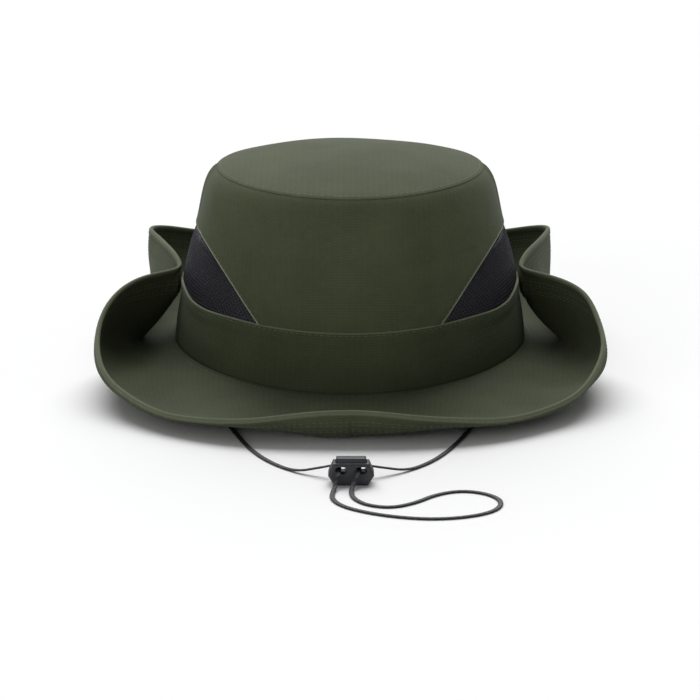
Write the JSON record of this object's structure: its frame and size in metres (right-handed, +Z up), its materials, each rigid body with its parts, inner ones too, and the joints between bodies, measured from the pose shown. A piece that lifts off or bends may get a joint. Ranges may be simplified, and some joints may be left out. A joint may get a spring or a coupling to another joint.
{
  "type": "boonie hat",
  "caption": "Wide-brimmed cloth sun hat with mesh side panels, brim sides snapped up to the crown, and a chin cord with a sliding push-button lock.",
  "frame": {"origin": "on the floor under the middle of the hat itself, the cord and its lock left out", "axes": "+Z up, the front of the hat faces -Y, the wearer's left hand is at +X"},
  "size_m": [0.2512, 0.444, 0.1037],
  "materials": {
    "crown_cloth": "olive ripstop polyester, matt",
    "brim_cloth": "olive ripstop polyester, matt, rows of stitching",
    "brim_binding": "rolled and stitched hem of the same cloth",
    "interlining": "stiff non-woven interlining",
    "crown_mesh": "black spacer mesh with small round cells",
    "sweatband_cloth": "dark wicking band",
    "black_tape": "plain woven tape",
    "snap_brass": "blackened brass snap, satin",
    "cord_braid": "flat braided cord",
    "lock_plastic": "moulded, fine satin texture",
    "spring_steel": "plain spring wire"
  },
  "bodies": {
    "hat": {"back_brim_edge_binding": "brim_binding", "back_brim_interlining": "interlining", "back_brim_under_cloth": "brim_cloth", "back_brim_upper_cloth": "brim_cloth", "back_crown_band": "crown_cloth", "back_panel": "crown_cloth", "chin_cord": "cord_braid", "crown_top": "crown_cloth", "front_brim_edge_binding": "brim_binding", "front_brim_interlining": "interlining", "front_brim_under_cloth": "brim_cloth", "front_brim_upper_cloth": "brim_cloth", "front_crown_band": "crown_cloth", "front_panel": "crown_cloth", "left_cord_tab": "black_tape", "left_mesh_panel": "crown_mesh", "left_snap_post": "snap_brass", "left_snap_stud": "snap_brass", "right_cord_tab": "black_tape", "right_mesh_panel": "crown_mesh", "right_snap_post": "snap_brass", "right_snap_stud": "snap_brass", "sweatband": "sweatband_cloth", "tip_seam_tape": "black_tape"},
    "left_brim": {"left_brim_edge_binding": "brim_binding", "left_brim_interlining": "interlining", "left_brim_under_cloth": "brim_cloth", "left_brim_upper_cloth": "brim_cloth", "left_snap_socket": "snap_brass", "left_snap_cap": "snap_brass"},
    "right_brim": {"right_brim_edge_binding": "brim_binding", "right_brim_interlining": "interlining", "right_brim_under_cloth": "brim_cloth", "right_brim_upper_cloth": "brim_cloth", "right_snap_socket": "snap_brass", "right_snap_cap": "snap_brass"},
    "cord_lock": {"lock_body": "lock_plastic"},
    "lock_button": {"lock_button": "lock_plastic", "lock_spring": "spring_steel"}
  },
  "joints": [
    {"name": "left_brim_fold", "type": "hinge", "parent": "hat", "child": "left_brim", "pos_m": [0.1235, 0.0014, 0.009], "axis": [0, 1, 0], "range_deg": [0, 75]},
    {"name": "right_brim_fold", "type": "hinge", "parent": "hat", "child": "right_brim", "pos_m": [-0.1235, 0.0014, 0.009], "axis": [0, -1, 0], "range_deg": [0, 75]},
    {"name": "lock_slide", "type": "slide", "parent": "hat", "child": "cord_lock", "axis": [0, 1, 0], "range_m": [-0.004, 0.004], "deforming": ["chin_cord"]},
    {"name": "button_press", "type": "slide", "parent": "cord_lock", "child": "lock_button", "axis": [0, 0, -1], "range_m": [0, 0.0016], "stiffness_N_per_m": 400, "springref_m": -0.002, "deforming": ["lock_spring"]}
  ]
}
